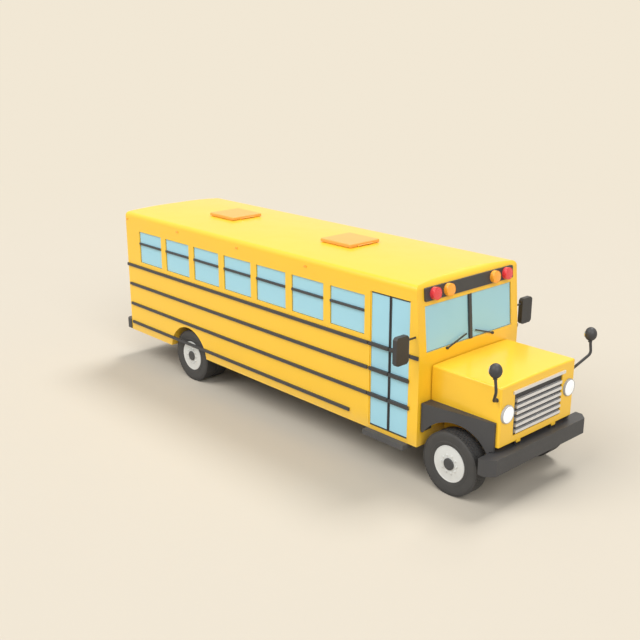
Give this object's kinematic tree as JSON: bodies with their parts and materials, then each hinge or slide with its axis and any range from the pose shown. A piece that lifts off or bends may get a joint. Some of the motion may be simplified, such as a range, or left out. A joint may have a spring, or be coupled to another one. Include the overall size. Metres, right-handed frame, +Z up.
{
  "type": "school bus",
  "caption": "Hooded school bus with hollow cabin and benches, swing-out entrance door, rear exit door, roof hatches, tilting hood and steered front wheels.",
  "frame": {"origin": "on the ground, midway along and across the whole bus", "axes": "+X towards the front of the bus, +Y to its left, +Z up"},
  "size_m": [9.745, 3.34, 3.248],
  "materials": {
    "body_paint": "gloss",
    "hatch_paint": "gloss",
    "charcoal": "satin",
    "glass": "clear",
    "tyre": "matte",
    "wheel_paint": "satin",
    "slats": "satin",
    "red_lens": "gloss",
    "amber_lens": "gloss",
    "white_lens": "clear",
    "chassis_black": "satin",
    "floor_rubber": "matte",
    "seat_vinyl": "satin",
    "sign_red": "satin",
    "engine_iron": "rough",
    "exhaust_steel": "worn",
    "dark_trim": "matte"
  },
  "bodies": {
    "coach": {"side_wall_right": "body_paint", "side_wall_left": "body_paint", "roof": "body_paint", "front_wall": "body_paint", "rear_wall": "body_paint", "floor": "floor_rubber", "rub_rails": "charcoal", "window_glass": "glass", "window_bars": "charcoal", "warning_panels": "charcoal", "red_lamps": "red_lens", "amber_lamps": "amber_lens", "chassis_frame": "chassis_black", "front_bumper": "charcoal", "rear_bumper": "charcoal", "front_axle": "chassis_black", "rear_axle": "chassis_black", "leaf_springs": "chassis_black", "engine_block": "engine_iron", "fuel_tank": "chassis_black", "exhaust": "exhaust_steel", "passenger_seats": "seat_vinyl", "driver_seat": "seat_vinyl", "dashboard": "dark_trim", "side_mirrors": "dark_trim", "wipers": "dark_trim"},
    "hood_and_fenders": {"hood": "body_paint", "fenders": "charcoal", "grille_back": "dark_trim", "grille": "slats", "headlamps": "white_lens", "crossview_mirrors": "dark_trim"},
    "door_front_leaf": {"door_leaf_front": "charcoal", "door_glass_front": "glass"},
    "door_rear_leaf": {"door_leaf_rear": "charcoal", "door_glass_rear": "glass"},
    "exit_door": {"emergency_door": "body_paint", "emergency_glass": "glass"},
    "rear_hatch": {"hatch_lid_rear": "hatch_paint"},
    "front_hatch": {"hatch_lid_front": "hatch_paint"},
    "stop_sign": {"stop_arm": "sign_red"},
    "right_knuckle": {"knuckle_right": "chassis_black"},
    "left_knuckle": {"knuckle_left": "chassis_black"},
    "steering_tie": {"tie_rod": "chassis_black"},
    "right_front_wheel": {"front_tyre_right": "tyre", "front_wheel_right": "wheel_paint"},
    "left_front_wheel": {"front_tyre_left": "tyre", "front_wheel_left": "wheel_paint"},
    "right_rear_wheels": {"rear_tyres_right": "tyre", "rear_wheel_right": "wheel_paint"},
    "left_rear_wheels": {"rear_tyres_left": "tyre", "rear_wheel_left": "wheel_paint"}
  },
  "joints": [
    {"name": "steer_right", "type": "hinge", "parent": "coach", "child": "right_knuckle", "pos_m": [3.9975, -0.92, 0.51], "axis": [0, 0, 1], "range_deg": [-35, 35]},
    {"name": "steer_left", "type": "hinge", "parent": "coach", "child": "left_knuckle", "pos_m": [3.9975, 0.92, 0.51], "axis": [0, 0, 1], "range_deg": [-35, 35]},
    {"name": "tie_rod_pivot", "type": "hinge", "parent": "right_knuckle", "child": "steering_tie", "pos_m": [3.8175, -0.92, 0.45], "axis": [0, 0, 1], "range_deg": [-35, 35]},
    {"name": "front_right_spin", "type": "hinge", "parent": "right_knuckle", "child": "right_front_wheel", "pos_m": [3.9975, -1.02, 0.51], "axis": [0, 1, 0], "continuous": true},
    {"name": "front_left_spin", "type": "hinge", "parent": "left_knuckle", "child": "left_front_wheel", "pos_m": [3.9975, 1.02, 0.51], "axis": [0, 1, 0], "continuous": true},
    {"name": "rear_right_spin", "type": "hinge", "parent": "coach", "child": "right_rear_wheels", "pos_m": [-2.6005, -0.89, 0.51], "axis": [0, 1, 0], "continuous": true},
    {"name": "rear_left_spin", "type": "hinge", "parent": "coach", "child": "left_rear_wheels", "pos_m": [-2.6005, 0.89, 0.51], "axis": [0, 1, 0], "continuous": true},
    {"name": "door_front", "type": "hinge", "parent": "coach", "child": "door_front_leaf", "pos_m": [3.2285, -1.24, 1.7], "axis": [0, 0, 1], "range_deg": [0, 90]},
    {"name": "door_rear", "type": "hinge", "parent": "coach", "child": "door_rear_leaf", "pos_m": [2.3665, -1.24, 1.7], "axis": [0, 0, -1], "range_deg": [0, 90]},
    {"name": "emergency_door", "type": "hinge", "parent": "coach", "child": "exit_door", "pos_m": [-4.7025, -0.362, 2], "axis": [0, 0, 1], "range_deg": [0, 110]},
    {"name": "hatch_rear", "type": "hinge", "parent": "coach", "child": "rear_hatch", "pos_m": [-2.1705, 0, 3.204], "axis": [0, 1, 0], "range_deg": [0, 75]},
    {"name": "hatch_front", "type": "hinge", "parent": "coach", "child": "front_hatch", "pos_m": [1.0595, 0, 3.204], "axis": [0, 1, 0], "range_deg": [0, 75]},
    {"name": "hood_tilt", "type": "hinge", "parent": "coach", "child": "hood_and_fenders", "pos_m": [4.6995, 0, 0.903], "axis": [0, 1, 0], "range_deg": [0, 65]},
    {"name": "stop_arm", "type": "hinge", "parent": "coach", "child": "stop_sign", "pos_m": [2.3075, 1.264, 1.83], "axis": [0, 0, -1], "range_deg": [0, 90]}
  ],
  "couplings": [
    {"joint": "steer_left", "follows": "steer_right", "ratio": 1},
    {"joint": "tie_rod_pivot", "follows": "steer_right", "ratio": -1},
    {"joint": "door_rear", "follows": "door_front", "ratio": 1}
  ]
}
